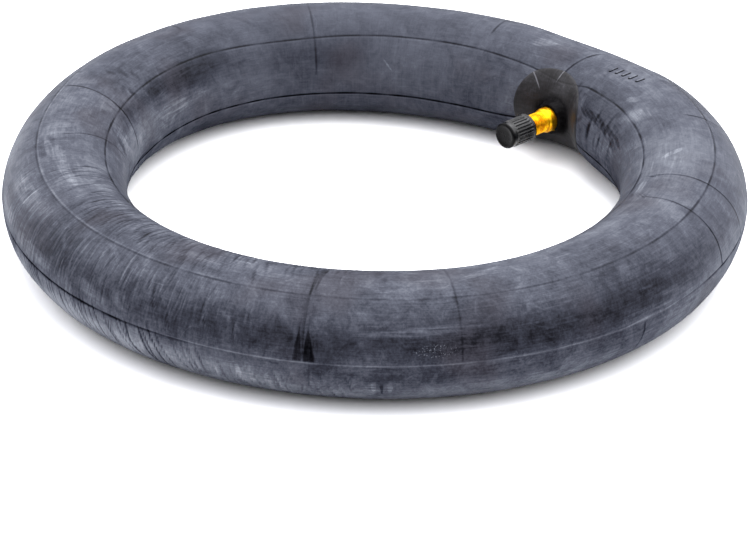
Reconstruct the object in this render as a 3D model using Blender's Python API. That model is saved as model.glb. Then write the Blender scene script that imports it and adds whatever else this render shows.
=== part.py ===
"""Small-wheel inner tube with a straight brass valve, its spring-loaded core and its dust cap.

The tube lies flat on the plane z = 0, and the origin is the middle of its footprint.
+Z runs up the ring's axis. The valve is on the ring's +Y side and points along -Y, into the ring.
"""
import math

import bmesh
import bpy
from mathutils import Vector

MM = 0.001

# Plan of the ring: a circle that hangs a little out of round, as soft rubber does.
# Each lobe is (waves in one turn, height, direction of a crest in degrees).
RING_RADIUS = 106.5 * MM
LOBES = ((2, 2.36 * MM, 154.4), (3, 1.01 * MM, 46.6), (4, 0.83 * MM, 73.6))
RING_STEPS = 52
STEPS_NEAR_VALVE = 3

# Section of the tube: an oval that grows slowly towards one side of the ring.
HALF_WIDTH = 21.11 * MM
HALF_HEIGHT = 19.63 * MM
GROWTH = 0.0156
GROWTH_DIRECTION = 75.1
SECTION_STEPS = 18
WALL = 1.8 * MM

# Near the valve the stiff rubber base pushes the tube outwards and narrows it.
PINCH_DIRECTION = 90.2
PINCH_SPREAD = 10.8
PINCH_SQUARENESS = 4
PINCH_PUSH = 3.91 * MM
PINCH_NARROWING = 0.188
PINCH_FLATTENING = 0.067

# Valve: every height is measured out from the tube's wall, along the valve's axis.
VALVE_HEIGHT_ABOVE_FLOOR = 16.8 * MM
GAP = 0.3 * MM
SEAL_GAP = 0.2 * MM

BASE_RADIUS = 17.0 * MM
BASE_LIFT = 0.5 * MM
BASE_THICKNESS = 1.0 * MM
BASE_RINGS = 4
BASE_STEPS = 32
NECK_FOOT_RADIUS = 7.2 * MM
NECK_TOP_RADIUS = 5.6 * MM
NECK_TOP = 3.6 * MM
AIR_HOLE_RADIUS = 2.6 * MM

STEM_STEPS = 24
STEM_FLANGE_RADIUS = 5.0 * MM
STEM_BOTTOM = 1.5 * MM
STEM_FLANGE_TOP = 2.1 * MM
COLLAR_RADIUS = 4.45 * MM
COLLAR_TOP = 6.0 * MM
THREAD_RADIUS = 3.85 * MM
THREAD_BOTTOM = 6.6 * MM
STEM_MOUTH = 22.9 * MM
MOUTH_CHAMFER = 0.4 * MM
CORE_THREAD_RADIUS = 2.65 * MM
SEAT_TOP = 15.9 * MM
SEAT_BOTTOM = 13.9 * MM
LOWER_BORE_RADIUS = 2.2 * MM

CORE_STEPS = 16
PLUG_BOTTOM = 16.7 * MM
PLUG_THREAD_TOP = 20.4 * MM
PLUG_TOP = 22.3 * MM
PLUG_POST_RADIUS = 1.75 * MM
PLUG_HALF_ACROSS_FLATS = 1.15 * MM
PLUG_BORE_RADIUS = 0.85 * MM

BARREL_TOP = 16.4 * MM
BARREL_BOTTOM = 4.4 * MM
BARREL_HEAD_RADIUS = 2.15 * MM
BARREL_HEAD_HEIGHT = 0.4 * MM
BARREL_RADIUS = 1.85 * MM
BARREL_GROOVE_RADIUS = 1.55 * MM
CHAMBER_RADIUS = 1.25 * MM
BARREL_LIP = 0.7 * MM
BARREL_LIP_RADIUS = 0.75 * MM

PIN_RADIUS = 0.45 * MM
PIN_HEAD_RADIUS = 0.6 * MM
PIN_HEAD_HEIGHT = 0.5 * MM
PIN_TOP = 22.6 * MM
PIN_BOTTOM = 2.2 * MM
PIN_COLLAR_RADIUS = 1.0 * MM
PIN_COLLAR_TOP = 15.7 * MM
PIN_COLLAR_BOTTOM = 15.2 * MM

CUP_RADIUS = 1.8 * MM
CUP_INNER_RADIUS = 1.5 * MM
CUP_BOTTOM = 2.5 * MM
CUP_FLOOR = 0.7 * MM
CUP_TOP = 3.9 * MM
CUP_SEAL_RADIUS = 1.3 * MM
CUP_SEAL_HEIGHT = 0.6 * MM

SPRING_RADIUS = 0.85 * MM
SPRING_WIRE_RADIUS = 0.12 * MM
SPRING_TURNS = 7
SPRING_POINTS_PER_TURN = 12

CAP_OPEN_END = 14.4 * MM
CAP_CLOSED_END = 25.7 * MM
CAP_END_WALL = 1.6 * MM
CAP_BORE_RADIUS = 4.05 * MM
CAP_FLANGE_RADIUS = 5.1 * MM
CAP_FLANGE_HEIGHT = 0.8 * MM
CAP_RIB_RADIUS = 4.75 * MM
CAP_RIB_DEPTH = 0.3 * MM
CAP_RIB_COUNT = 24
CAP_GROOVE_RADIUS = 4.4 * MM
CAP_GROOVE_HEIGHT = 0.4 * MM
CAP_TIP_RADIUS = 4.65 * MM
CAP_TIP_HEIGHT = 2.1 * MM
CAP_EDGE = 0.4 * MM
CAP_SEAL_RADIUS = 3.4 * MM
CAP_SEAL_INNER_RADIUS = 1.0 * MM
CAP_SEAL_HEIGHT = 0.6 * MM

# Colour, roughness and metallic value of each material.
MATERIALS = {
    "butyl_rubber": ((0.105, 0.110, 0.135), 0.62, 0.0),
    "base_rubber": ((0.030, 0.029, 0.030), 0.55, 0.0),
    "seal_rubber": ((0.020, 0.020, 0.022), 0.65, 0.0),
    "stem_brass": ((0.830, 0.560, 0.130), 0.28, 1.0),
    "core_brass": ((0.720, 0.520, 0.190), 0.34, 1.0),
    "spring_steel": ((0.560, 0.560, 0.550), 0.30, 1.0),
    "cap_plastic": ((0.022, 0.022, 0.024), 0.48, 0.0),
}


def pinch(angle):
    """How strongly the valve's base shapes the tube at this direction, from 0 to 1."""
    away = math.remainder(angle - math.radians(PINCH_DIRECTION), math.tau)
    return math.exp(-((away / math.radians(PINCH_SPREAD)) ** PINCH_SQUARENESS))


def centre_line(angle):
    """Point of the tube's centre line, seen from above and measured from the ring's centre."""
    radius = RING_RADIUS + PINCH_PUSH * pinch(angle)
    for waves, height, crest in LOBES:
        radius += height * math.cos(waves * (angle - math.radians(crest)))
    return Vector((radius * math.cos(angle), radius * math.sin(angle)))


def outward(angle):
    """Unit vector in plan that points out of the ring, square to the centre line."""
    step = 0.001
    along = (centre_line(angle + step) - centre_line(angle - step)).normalized()
    return Vector((along.y, -along.x))


def half_sizes(angle):
    """Half-width and half-height of the tube's section at this direction."""
    growth = 1 + GROWTH * math.cos(angle - math.radians(GROWTH_DIRECTION))
    width = HALF_WIDTH * growth * (1 - PINCH_NARROWING * pinch(angle))
    height = HALF_HEIGHT * growth * (1 - PINCH_FLATTENING * pinch(angle))
    return width, height


def tube_point(angle, around, lift=0.0):
    """Point on the tube's outside, from the ring's centre, raised by lift.

    around is the angle round the section: 0 outside, a quarter turn on top, half a turn inside.
    The lowest and the highest strip of the section are flat and one section step wide. The corners
    stand out a little, so that these strips touch the oval: the lowest stands on the floor.
    """
    width, height = half_sizes(angle)
    corner_height = height / math.cos(math.pi / SECTION_STEPS)
    slope = Vector((math.cos(around) / width, math.sin(around) / corner_height)).normalized()
    out = width * math.cos(around) + lift * slope.x
    up = height + corner_height * math.sin(around) + lift * slope.y
    plan = centre_line(angle) + out * outward(angle)
    return Vector((plan.x, plan.y, up))


def ring_angles():
    """Directions of the ring's sections, which stand closer together near the valve."""
    step = math.tau / RING_STEPS
    angles = []
    for index in range(RING_STEPS):
        near_valve = pinch((index + 0.5) * step) > 0.01
        parts = STEPS_NEAR_VALVE if near_valve else 1
        angles += [(index + part / parts) * step for part in range(parts)]
    return angles


def ring_centre():
    """Where the ring's centre goes, so that the footprint's middle is at the origin."""
    rim = [tube_point(angle, 0.0) for angle in ring_angles()]
    middle_x = (min(point.x for point in rim) + max(point.x for point in rim)) / 2
    middle_y = (min(point.y for point in rim) + max(point.y for point in rim)) / 2
    return Vector((-middle_x, -middle_y, 0.0))


def valve_foot():
    """Direction and section angle of the wall point that the valve stands on, at x = 0."""
    centre = ring_centre()
    angle = math.pi / 2
    around = math.pi
    for _ in range(8):
        point = centre + tube_point(angle, around)
        angle += point.x / (point.y - centre.y)
        around += (point.z - VALVE_HEIGHT_ABOVE_FLOOR) / HALF_HEIGHT
    return angle, around


def wall_direction(start, distance):
    """Direction of the point this far along the ring's inner wall, in +X from the start."""
    steps = 12
    angle = start
    for _ in range(steps):
        wall_step = tube_point(angle + 0.001, math.pi) - tube_point(angle - 0.001, math.pi)
        angle -= 0.002 * distance / steps / wall_step.length
    return angle


def principled(name):
    """A Principled material with the colour, roughness and metallic value listed above."""
    colour, roughness, metallic = MATERIALS[name]
    material = bpy.data.materials.new(name)
    material.use_nodes = True
    shader = material.node_tree.nodes["Principled BSDF"]
    shader.inputs["Base Color"].default_value = (*colour, 1.0)
    shader.inputs["Roughness"].default_value = roughness
    shader.inputs["Metallic"].default_value = metallic
    material.diffuse_color = (*colour, 1.0)
    return material


def add_object(name, data, material, parent=None):
    data.materials.append(material)
    piece = bpy.data.objects.new(name, data)
    bpy.context.scene.collection.objects.link(piece)
    piece.parent = parent
    return piece


def finish_mesh(name, shape, material, parent=None, sharp_angle=35.0):
    """Turn a bmesh into a smooth-shaded object with crisp edges."""
    bmesh.ops.recalc_face_normals(shape, faces=shape.faces)
    mesh = bpy.data.meshes.new(name)
    shape.to_mesh(mesh)
    shape.free()
    mesh.shade_smooth()
    mesh.set_sharp_from_angle(angle=math.radians(sharp_angle))
    return add_object(name, mesh, material, parent)


def bridge_closed(shape, loops):
    """Faces between each loop of vertices and the next, and from the last back to the first."""
    for first, second in zip(loops, loops[1:] + loops[:1]):
        for index in range(len(first)):
            following = (index + 1) % len(first)
            shape.faces.new((first[index], first[following], second[following], second[index]))


def turned_shape(profile, steps):
    """A closed outline of (radius, height) points, spun once round the local Z axis."""
    shape = bmesh.new()
    corners = [shape.verts.new((radius, 0.0, height)) for radius, height in profile]
    edges = [shape.edges.new((a, b)) for a, b in zip(corners, corners[1:] + corners[:1])]
    bmesh.ops.spin(
        shape,
        geom=corners + edges,
        cent=(0.0, 0.0, 0.0),
        axis=(0.0, 0.0, 1.0),
        angle=math.tau,
        steps=steps,
    )
    bmesh.ops.remove_doubles(shape, verts=shape.verts, dist=0.001 * MM)
    axis_edges = [edge for edge in shape.edges if not edge.link_faces]
    bmesh.ops.delete(shape, geom=axis_edges, context="EDGES")
    return shape


def make_tube_body():
    """The hollow butyl ring, with the air hole under the valve."""
    shape = bmesh.new()
    loops = []
    for angle in ring_angles():
        loop = []
        for step in range(SECTION_STEPS):
            around = math.tau * (step + 0.5) / SECTION_STEPS - math.pi / 2
            loop.append(shape.verts.new(tube_point(angle, around)))
        loops.append(loop)
    bridge_closed(shape, loops)
    body = finish_mesh("tube_body", shape, principled("butyl_rubber"), sharp_angle=60.0)
    body.location = ring_centre()

    shell = body.modifiers.new("wall", "SOLIDIFY")
    shell.thickness = WALL
    shell.offset = -1.0

    cutter = make_air_hole_cutter()
    hole = body.modifiers.new("air_hole", "BOOLEAN")
    hole.operation = "DIFFERENCE"
    hole.solver = "EXACT"
    hole.object = cutter
    return body


def make_air_hole_cutter():
    """A short rod through the tube's wall, on the valve's axis."""
    shape = bmesh.new()
    bmesh.ops.create_cone(
        shape,
        cap_ends=True,
        segments=CORE_STEPS,
        radius1=AIR_HOLE_RADIUS,
        radius2=AIR_HOLE_RADIUS,
        depth=8 * MM,
    )
    cutter = finish_mesh("air_hole_cutter", shape, principled("seal_rubber"))
    cutter.location = valve_origin()
    cutter.rotation_euler = (math.pi / 2, 0.0, 0.0)
    cutter.hide_render = True
    cutter.display_type = "WIRE"
    return cutter


def valve_origin():
    """The point where the valve's axis meets the tube's wall."""
    return ring_centre() + tube_point(*valve_foot())


def make_valve_base():
    """The rubber base: a thin disc moulded over the tube's inner side, with a neck for the stem."""
    centre = ring_centre()
    origin = valve_origin()
    foot_angle, foot_around = valve_foot()
    section_radius = sum(half_sizes(foot_angle)) / 2

    def draped(radius, turn, lift):
        sideways = radius * math.cos(turn)
        upwards = radius * math.sin(turn)
        angle = wall_direction(foot_angle, sideways)
        around = foot_around - upwards / section_radius
        return centre + tube_point(angle, around, lift)

    def straight(radius, turn, height):
        offset = Vector((radius * math.cos(turn), -height, radius * math.sin(turn)))
        return origin + offset

    under = BASE_LIFT
    middle = BASE_LIFT + BASE_THICKNESS / 2
    over = BASE_LIFT + BASE_THICKNESS
    flat_width = BASE_RADIUS - BASE_THICKNESS / 2 - NECK_FOOT_RADIUS
    rings = [NECK_FOOT_RADIUS + flat_width * ring / BASE_RINGS for ring in range(BASE_RINGS + 1)]
    pocket_radius = STEM_FLANGE_RADIUS + GAP
    pocket_bottom = STEM_BOTTOM - GAP
    pocket_top = STEM_FLANGE_TOP + GAP
    underside = [(draped, radius, under) for radius in rings]
    upper_side = [(draped, radius, over) for radius in reversed(rings)]
    outline = (
        (draped, AIR_HOLE_RADIUS + GAP, under),
        *underside,
        (draped, BASE_RADIUS, middle),
        *upper_side,
        (straight, NECK_TOP_RADIUS + GAP, NECK_TOP - GAP),
        (straight, NECK_TOP_RADIUS, NECK_TOP),
        (straight, COLLAR_RADIUS + GAP, NECK_TOP),
        (straight, COLLAR_RADIUS + GAP, pocket_top),
        (straight, pocket_radius, pocket_top),
        (straight, pocket_radius, pocket_bottom),
        (straight, AIR_HOLE_RADIUS + GAP, pocket_bottom),
    )
    shape = bmesh.new()
    loops = []
    for place, radius, height in outline:
        turns = [math.tau * step / BASE_STEPS for step in range(BASE_STEPS)]
        loops.append([shape.verts.new(place(radius, turn, height)) for turn in turns])
    bridge_closed(shape, loops)
    return finish_mesh("valve_base", shape, principled("base_rubber"))


def make_valve_stem(valve_axis):
    """The brass stem, from the flange inside the rubber neck to the mouth under the cap."""
    profile = (
        (STEM_FLANGE_RADIUS, STEM_BOTTOM),
        (STEM_FLANGE_RADIUS, STEM_FLANGE_TOP),
        (COLLAR_RADIUS, STEM_FLANGE_TOP),
        (COLLAR_RADIUS, COLLAR_TOP),
        (THREAD_RADIUS, THREAD_BOTTOM),
        (THREAD_RADIUS, STEM_MOUTH - MOUTH_CHAMFER),
        (THREAD_RADIUS - MOUTH_CHAMFER, STEM_MOUTH),
        (CORE_THREAD_RADIUS + SEAL_GAP, STEM_MOUTH),
        (CORE_THREAD_RADIUS, STEM_MOUTH - MOUTH_CHAMFER),
        (CORE_THREAD_RADIUS, SEAT_TOP),
        (LOWER_BORE_RADIUS, SEAT_BOTTOM),
        (LOWER_BORE_RADIUS, STEM_BOTTOM),
    )
    shape = turned_shape(profile, STEM_STEPS)
    return finish_mesh("valve_stem", shape, principled("stem_brass"), valve_axis)


def make_core_plug(valve_axis):
    """The core's screw plug, with two flats on its post for the core tool."""
    thread_radius = CORE_THREAD_RADIUS - GAP
    profile = (
        (thread_radius, PLUG_BOTTOM),
        (thread_radius, PLUG_THREAD_TOP),
        (PLUG_POST_RADIUS, PLUG_THREAD_TOP),
        (PLUG_POST_RADIUS, PLUG_TOP),
        (PLUG_BORE_RADIUS, PLUG_TOP),
        (PLUG_BORE_RADIUS, PLUG_BOTTOM),
    )
    shape = turned_shape(profile, CORE_STEPS)
    for vertex in shape.verts:
        if math.hypot(vertex.co.x, vertex.co.y) < PLUG_POST_RADIUS * 1.01:
            limit = PLUG_HALF_ACROSS_FLATS
            vertex.co.x = max(-limit, min(limit, vertex.co.x))
    return finish_mesh("core_plug", shape, principled("core_brass"), valve_axis)


def make_core_barrel(valve_axis):
    """The core's barrel, which carries the seal in a groove and the spring in its chamber."""
    head_bottom = BARREL_TOP - BARREL_HEAD_HEIGHT
    chamber_bottom = BARREL_BOTTOM + BARREL_LIP
    profile = (
        (BARREL_RADIUS, BARREL_BOTTOM),
        (BARREL_RADIUS, SEAT_BOTTOM - GAP),
        (BARREL_GROOVE_RADIUS, SEAT_BOTTOM - GAP),
        (BARREL_GROOVE_RADIUS, head_bottom),
        (BARREL_HEAD_RADIUS, head_bottom),
        (BARREL_HEAD_RADIUS, BARREL_TOP),
        (CHAMBER_RADIUS, BARREL_TOP),
        (CHAMBER_RADIUS, chamber_bottom),
        (BARREL_LIP_RADIUS, chamber_bottom),
        (BARREL_LIP_RADIUS, BARREL_BOTTOM),
    )
    shape = turned_shape(profile, CORE_STEPS)
    return finish_mesh("core_barrel", shape, principled("core_brass"), valve_axis)


def make_barrel_seal(valve_axis):
    """The tapered ring that seals the barrel against the seat in the stem."""
    top = BARREL_TOP - BARREL_HEAD_HEIGHT - SEAL_GAP
    inner_radius = BARREL_GROOVE_RADIUS + SEAL_GAP
    profile = (
        (LOWER_BORE_RADIUS - SEAL_GAP, SEAT_BOTTOM),
        (CORE_THREAD_RADIUS - GAP, top),
        (inner_radius, top),
        (inner_radius, SEAT_BOTTOM),
    )
    shape = turned_shape(profile, CORE_STEPS)
    return finish_mesh("barrel_seal", shape, principled("seal_rubber"), valve_axis)


def make_core_pin(valve_axis):
    """The pin that opens the core, with the collar that the spring pushes on."""
    head_bottom = PIN_TOP - PIN_HEAD_HEIGHT
    profile = (
        (0.0, PIN_BOTTOM),
        (PIN_RADIUS, PIN_BOTTOM),
        (PIN_RADIUS, PIN_COLLAR_BOTTOM),
        (PIN_COLLAR_RADIUS, PIN_COLLAR_BOTTOM),
        (PIN_COLLAR_RADIUS, PIN_COLLAR_TOP),
        (PIN_RADIUS, PIN_COLLAR_TOP),
        (PIN_RADIUS, head_bottom),
        (PIN_HEAD_RADIUS, head_bottom),
        (PIN_HEAD_RADIUS, PIN_TOP),
        (0.0, PIN_TOP),
    )
    shape = turned_shape(profile, CORE_STEPS)
    return finish_mesh("core_pin", shape, principled("core_brass"), valve_axis)


def make_plunger_cup(valve_axis):
    """The cup on the pin's lower end, which holds the rubber disc against the barrel."""
    floor_top = CUP_BOTTOM + CUP_FLOOR
    hole_radius = PIN_RADIUS + SEAL_GAP
    profile = (
        (hole_radius, CUP_BOTTOM),
        (CUP_RADIUS, CUP_BOTTOM),
        (CUP_RADIUS, CUP_TOP),
        (CUP_INNER_RADIUS, CUP_TOP),
        (CUP_INNER_RADIUS, floor_top),
        (hole_radius, floor_top),
    )
    shape = turned_shape(profile, CORE_STEPS)
    return finish_mesh("plunger_cup", shape, principled("core_brass"), valve_axis)


def make_washer(name, radii, bottom, height, steps, valve_axis):
    """A flat rubber ring round the valve's axis."""
    outer, inner = radii
    top = bottom + height
    profile = ((outer, bottom), (outer, top), (inner, top), (inner, bottom))
    shape = turned_shape(profile, steps)
    return finish_mesh(name, shape, principled("seal_rubber"), valve_axis)


def make_core_spring(valve_axis):
    """The coil spring between the barrel's lip and the pin's collar."""
    bottom = BARREL_BOTTOM + BARREL_LIP + SEAL_GAP + SPRING_WIRE_RADIUS
    top = PIN_COLLAR_BOTTOM - SEAL_GAP - SPRING_WIRE_RADIUS
    curve = bpy.data.curves.new("core_spring", "CURVE")
    curve.dimensions = "3D"
    curve.bevel_depth = SPRING_WIRE_RADIUS
    curve.bevel_resolution = 0
    curve.use_fill_caps = True
    point_count = SPRING_TURNS * SPRING_POINTS_PER_TURN + 1
    wire = curve.splines.new("POLY")
    wire.points.add(point_count - 1)
    for index, point in enumerate(wire.points):
        share = index / (point_count - 1)
        turn = math.tau * SPRING_TURNS * share
        height = bottom + (top - bottom) * share
        point.co = (SPRING_RADIUS * math.cos(turn), SPRING_RADIUS * math.sin(turn), height, 1.0)
    return add_object("core_spring", curve, principled("spring_steel"), valve_axis)


def make_dust_cap(valve_axis):
    """The plastic cap: a flange at its open end, a ribbed grip and a smooth closed tip."""
    flange_top = CAP_OPEN_END + CAP_FLANGE_HEIGHT
    groove_top = CAP_CLOSED_END - CAP_TIP_HEIGHT
    ribs_top = groove_top - CAP_GROOVE_HEIGHT
    ribs_bottom = flange_top + 0.1 * MM
    bore_end = CAP_CLOSED_END - CAP_END_WALL
    profile = (
        (CAP_BORE_RADIUS, CAP_OPEN_END),
        (CAP_FLANGE_RADIUS, CAP_OPEN_END),
        (CAP_FLANGE_RADIUS, flange_top),
        (CAP_RIB_RADIUS, ribs_bottom),
        (CAP_RIB_RADIUS, ribs_top),
        (CAP_GROOVE_RADIUS, ribs_top),
        (CAP_GROOVE_RADIUS, groove_top),
        (CAP_TIP_RADIUS, groove_top),
        (CAP_TIP_RADIUS, CAP_CLOSED_END - CAP_EDGE),
        (CAP_TIP_RADIUS - CAP_EDGE, CAP_CLOSED_END),
        (0.0, CAP_CLOSED_END),
        (0.0, bore_end),
        (CAP_BORE_RADIUS, bore_end),
    )
    steps = 2 * CAP_RIB_COUNT
    shape = turned_shape(profile, steps)
    valley = CAP_RIB_RADIUS - CAP_RIB_DEPTH
    for vertex in shape.verts:
        place = vertex.co
        on_grip = abs(math.hypot(place.x, place.y) - CAP_RIB_RADIUS) < 0.01 * MM
        between_ribs = round(math.atan2(place.y, place.x) / math.tau * steps) % 2 == 1
        if on_grip and between_ribs:
            place.x *= valley / CAP_RIB_RADIUS
            place.y *= valley / CAP_RIB_RADIUS
    return finish_mesh("dust_cap", shape, principled("cap_plastic"), valve_axis, sharp_angle=30.0)


def make_valve():
    """Every turned piece of the valve, on an empty that lies on the valve's axis."""
    valve_axis = bpy.data.objects.new("valve_axis", None)
    bpy.context.scene.collection.objects.link(valve_axis)
    valve_axis.location = valve_origin()
    valve_axis.rotation_euler = (math.pi / 2, 0.0, 0.0)

    make_valve_stem(valve_axis)
    make_core_plug(valve_axis)
    make_core_barrel(valve_axis)
    make_barrel_seal(valve_axis)
    make_core_pin(valve_axis)
    make_plunger_cup(valve_axis)
    cup_seal_radii = (CUP_SEAL_RADIUS, PIN_RADIUS + SEAL_GAP)
    cup_seal_top = BARREL_BOTTOM - GAP
    cup_seal_bottom = cup_seal_top - CUP_SEAL_HEIGHT
    make_washer(
        "cup_seal", cup_seal_radii, cup_seal_bottom, CUP_SEAL_HEIGHT, CORE_STEPS, valve_axis
    )
    make_core_spring(valve_axis)
    cap_seal_radii = (CAP_SEAL_RADIUS, CAP_SEAL_INNER_RADIUS)
    make_washer(
        "cap_seal", cap_seal_radii, STEM_MOUTH + GAP, CAP_SEAL_HEIGHT, STEM_STEPS, valve_axis
    )
    make_dust_cap(valve_axis)


def main():
    for old in list(bpy.data.objects):
        bpy.data.objects.remove(old, do_unlink=True)
    make_tube_body()
    make_valve_base()
    make_valve()


main()
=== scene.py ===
"""Looks of the inner tube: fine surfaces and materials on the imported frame, lights and camera.

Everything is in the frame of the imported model: +Z up, the valve on the +Y side pointing along -Y. Shapes
are worked out in millimetres and turned into metres when a mesh is made.

A place on the rubber ring is given by two angles in degrees. "turn" goes round the ring, from +X towards
+Y. "around" goes round the tube's section: 0 is the outermost line, 90 the crown, 180 the innermost line.
"""

import math

import bpy
import numpy as np
from mathutils import Matrix, Vector


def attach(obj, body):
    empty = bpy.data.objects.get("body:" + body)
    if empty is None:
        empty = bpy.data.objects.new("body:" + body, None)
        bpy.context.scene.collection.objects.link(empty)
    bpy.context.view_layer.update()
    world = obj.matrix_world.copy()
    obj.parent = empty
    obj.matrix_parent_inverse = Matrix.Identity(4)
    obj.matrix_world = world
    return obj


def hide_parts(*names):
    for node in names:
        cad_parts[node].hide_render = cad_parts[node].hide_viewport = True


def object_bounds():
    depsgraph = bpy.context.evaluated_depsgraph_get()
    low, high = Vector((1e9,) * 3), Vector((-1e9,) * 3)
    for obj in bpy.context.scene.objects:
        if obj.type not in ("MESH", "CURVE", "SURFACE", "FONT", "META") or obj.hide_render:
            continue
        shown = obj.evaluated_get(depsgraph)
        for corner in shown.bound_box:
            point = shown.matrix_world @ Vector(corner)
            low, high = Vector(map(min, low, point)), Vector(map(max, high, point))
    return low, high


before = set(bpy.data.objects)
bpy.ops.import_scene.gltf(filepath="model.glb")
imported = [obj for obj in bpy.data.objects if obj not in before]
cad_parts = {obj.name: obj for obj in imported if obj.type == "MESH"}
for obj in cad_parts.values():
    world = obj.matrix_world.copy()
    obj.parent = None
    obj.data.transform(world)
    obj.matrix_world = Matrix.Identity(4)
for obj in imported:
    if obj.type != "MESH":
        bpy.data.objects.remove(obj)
CAD_LOW, CAD_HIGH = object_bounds()

MM = 0.001
TAU = math.tau


# ---------------- the ring's surface

RING_RADIUS = 106.5

# How the ring is out of round: (lobes in one turn, height in millimetres, turn of a crest).
LOBES = ((2, 2.36, 154.4), (3, 1.01, 46.6), (4, 0.83, 73.6))

# The section's half sizes. It is fattest, by this share, at this turn.
HALF_WIDTH = 21.11
HALF_HEIGHT = 19.63
GROWTH = 0.0156
GROWTH_TURN = 75.1

# Beside the valve the ring is pushed outward, and its section is narrower and a little flatter.
PINCH_TURN = 90.2
PINCH_SPREAD = 11.0
PINCH_SQUARENESS = 3.0
PINCH_PUSH = 3.91
PINCH_NARROWING = 0.188
PINCH_FLATTENING = 0.067

VALVE_HEIGHT = 16.8
SKIN_RADIUS = 20.0
CROWN_DROP = 0.28
TURN_STEP = 0.05


def wrapped(degrees):
    """An angle brought between -180 and 180 degrees."""
    return (np.asarray(degrees) + 180.0) % 360.0 - 180.0


def bell(distance, width):
    """1 at the middle, falling off smoothly on both sides."""
    return np.exp(-((distance / width) ** 2))


def fade(value, low, high):
    """0 below low, 1 above high, smooth in between. low may be the larger one."""
    step = np.clip((value - low) / (high - low), 0.0, 1.0)
    return step * step * (3.0 - 2.0 * step)


def span(value, low, high, soft):
    """1 between low and high, 0 outside, with soft ends."""
    return fade(value, low - soft, low + soft) * fade(value, high + soft, high - soft)


def pinch(turn):
    """1 at the valve, 0 away from it."""
    return np.exp(-(np.abs(wrapped(turn - PINCH_TURN) / PINCH_SPREAD) ** PINCH_SQUARENESS))


def centre_line(turn):
    """x and y of the section's middle, before the ring is centred."""
    radius = RING_RADIUS + PINCH_PUSH * pinch(turn)
    for waves, height, crest in LOBES:
        radius = radius + height * np.cos(np.radians(waves * (turn - crest)))
    return radius * np.cos(np.radians(turn)), radius * np.sin(np.radians(turn))


def outward(turn):
    """x and y of the direction that points away from the ring's middle, square to the centre line."""
    ahead_x, ahead_y = centre_line(turn + TURN_STEP)
    behind_x, behind_y = centre_line(turn - TURN_STEP)
    along_x, along_y = ahead_x - behind_x, ahead_y - behind_y
    length = np.hypot(along_x, along_y)
    return along_y / length, -along_x / length


def half_sizes(turn):
    """Half the section's width and half its height."""
    growth = 1 + GROWTH * np.cos(np.radians(turn - GROWTH_TURN))
    width = HALF_WIDTH * growth * (1 - PINCH_NARROWING * pinch(turn))
    height = HALF_HEIGHT * growth * (1 - PINCH_FLATTENING * pinch(turn))
    return width, height


def wall(turn, around, lift=0.0):
    """Points on the ring's outside, raised by lift. Takes arrays.

    The crown is a hair lower than in the CAD, so that the lines and bars on it stay inside the CAD's box.
    """
    turn, around = np.broadcast_arrays(np.asarray(turn, float), np.asarray(around, float))
    width, height = half_sizes(turn)
    cosine, sine = np.cos(np.radians(around)), np.sin(np.radians(around))
    slope_out, slope_up = cosine / width, sine / height
    slope = np.hypot(slope_out, slope_up)
    out = width * cosine + lift * slope_out / slope
    up = height + height * sine + lift * slope_up / slope - CROWN_DROP * np.clip(sine, 0, 1) ** 4
    x, y = centre_line(turn)
    out_x, out_y = outward(turn)
    return np.stack((x + out * out_x + CENTRE[0], y + out * out_y + CENTRE[1], up), axis=-1)


def find_centre():
    """Where the ring's centre goes, so that its plan is centred on the origin."""
    rim = wall(np.arange(0.0, 360.0, 0.25), 0.0)[:, :2]
    return -(rim.max(0) + rim.min(0)) / 2


def find_valve_foot():
    """The wall's turn and around where the valve's axis starts, at x = 0."""
    turn, around = 90.0, 180.0
    for _ in range(8):
        point = wall(turn, around)
        turn += math.degrees(point[0] / (point[1] - CENTRE[1]))
        around += math.degrees((point[2] - VALVE_HEIGHT) / HALF_HEIGHT)
    return turn, around


CENTRE = np.zeros(2)
CENTRE = find_centre()
FOOT_TURN, FOOT_AROUND = find_valve_foot()
VALVE_FOOT = wall(FOOT_TURN, FOOT_AROUND)


# ---------------- what is moulded into the rubber

# Mould lines that run round the ring: where on the section, and how deep the line is.
EQUATOR = 1.0
UPPER_LINE = 64.0
INNER_LINE = 132.0
INSIDE_LINE = -162.0
UNDER_LINE = -97.0
LINES_ROUND = (
    (EQUATOR, 1.0),
    (UPPER_LINE, 0.62),
    (INNER_LINE, 0.65),
    (INSIDE_LINE, 1.0),
    (UNDER_LINE, 0.5),
)

# Mould lines across the tube: (turn on the crown, slant, bend on the inner side, from, to, depth).
# Two of them lie side by side, so only the first gets its own columns in the ring's grid.
TWIN_LINE = 19.1
LINES_ACROSS = (
    (148.5, 0, 0, 20, 172, 0.25),
    (-152.5, 0.053, 0, -20, 174, 0.75),
    (-131, -0.077, 0, 88, 162, 0.35),
    (-53, 0, 0, 2, 104, 0.22),
    (-31.3, 0, 0, 3, 112, 0.22),
    (-2.6, 0, 0, -38, -3, 0.4),
    (18.3, 0, 3, 2, 138, 0.50),
    (TWIN_LINE, 0, 3, 8, 134, 0.5),
    (28.8, 0, 0, -4, 119, 0.5),
    (55, 0.02, 0, 4, 84, 0.4),
    (88.6, 0.06, 0, 86, 146, 0.6),
    (110, 0, 0, 20, 110, 0.35),
    (119, 0, 0, -160, -130, 0.3),
    (175, 0.03, 0, -30, 88, 0.45),
)


def inner_line_shift(turn):
    """The line on the inner side climbs towards the crown near the valve and at the far left."""
    near_valve = 13.5 * bell(wrapped(turn - 91.0), 11.0)
    far_left = 4.5 * bell(wrapped(turn - 155.0), 16.0)
    return near_valve + far_left


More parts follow.
